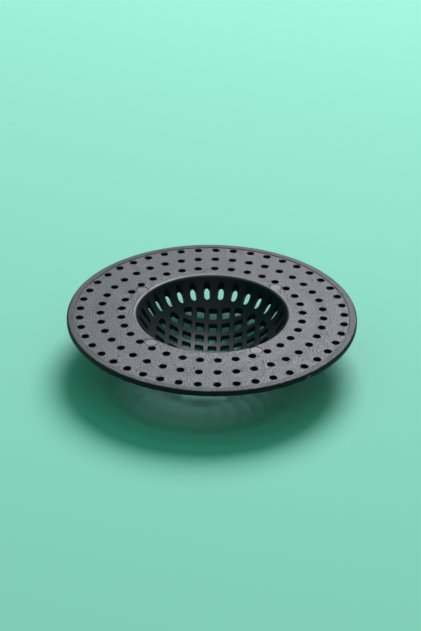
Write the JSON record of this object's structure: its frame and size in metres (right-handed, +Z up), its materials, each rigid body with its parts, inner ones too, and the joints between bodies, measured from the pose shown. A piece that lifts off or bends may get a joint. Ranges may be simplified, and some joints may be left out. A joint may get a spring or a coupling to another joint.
{
  "type": "sink strainer",
  "caption": "Round plastic sink strainer: a wide perforated flange lies over the outlet, and a shallow slotted bowl with a square-grid floor hangs through it to catch scraps.",
  "frame": {"origin": "centre of the flat foot under the bowl, on the surface the strainer stands on", "axes": "+Z up along the bowl's axis, out of the mouth; +Y through the line where all rings of flange holes have a hole; the floor grid runs along X and Y"},
  "size_m": [0.11, 0.11, 0.0208],
  "materials": {
    "plastic": "fine eroded grain on the flange, satin inside the bowl"
  },
  "bodies": {
    "root": {"rim": "plastic", "flange": "plastic", "bowl_wall": "plastic", "bowl_floor": "plastic"}
  },
  "joints": []
}
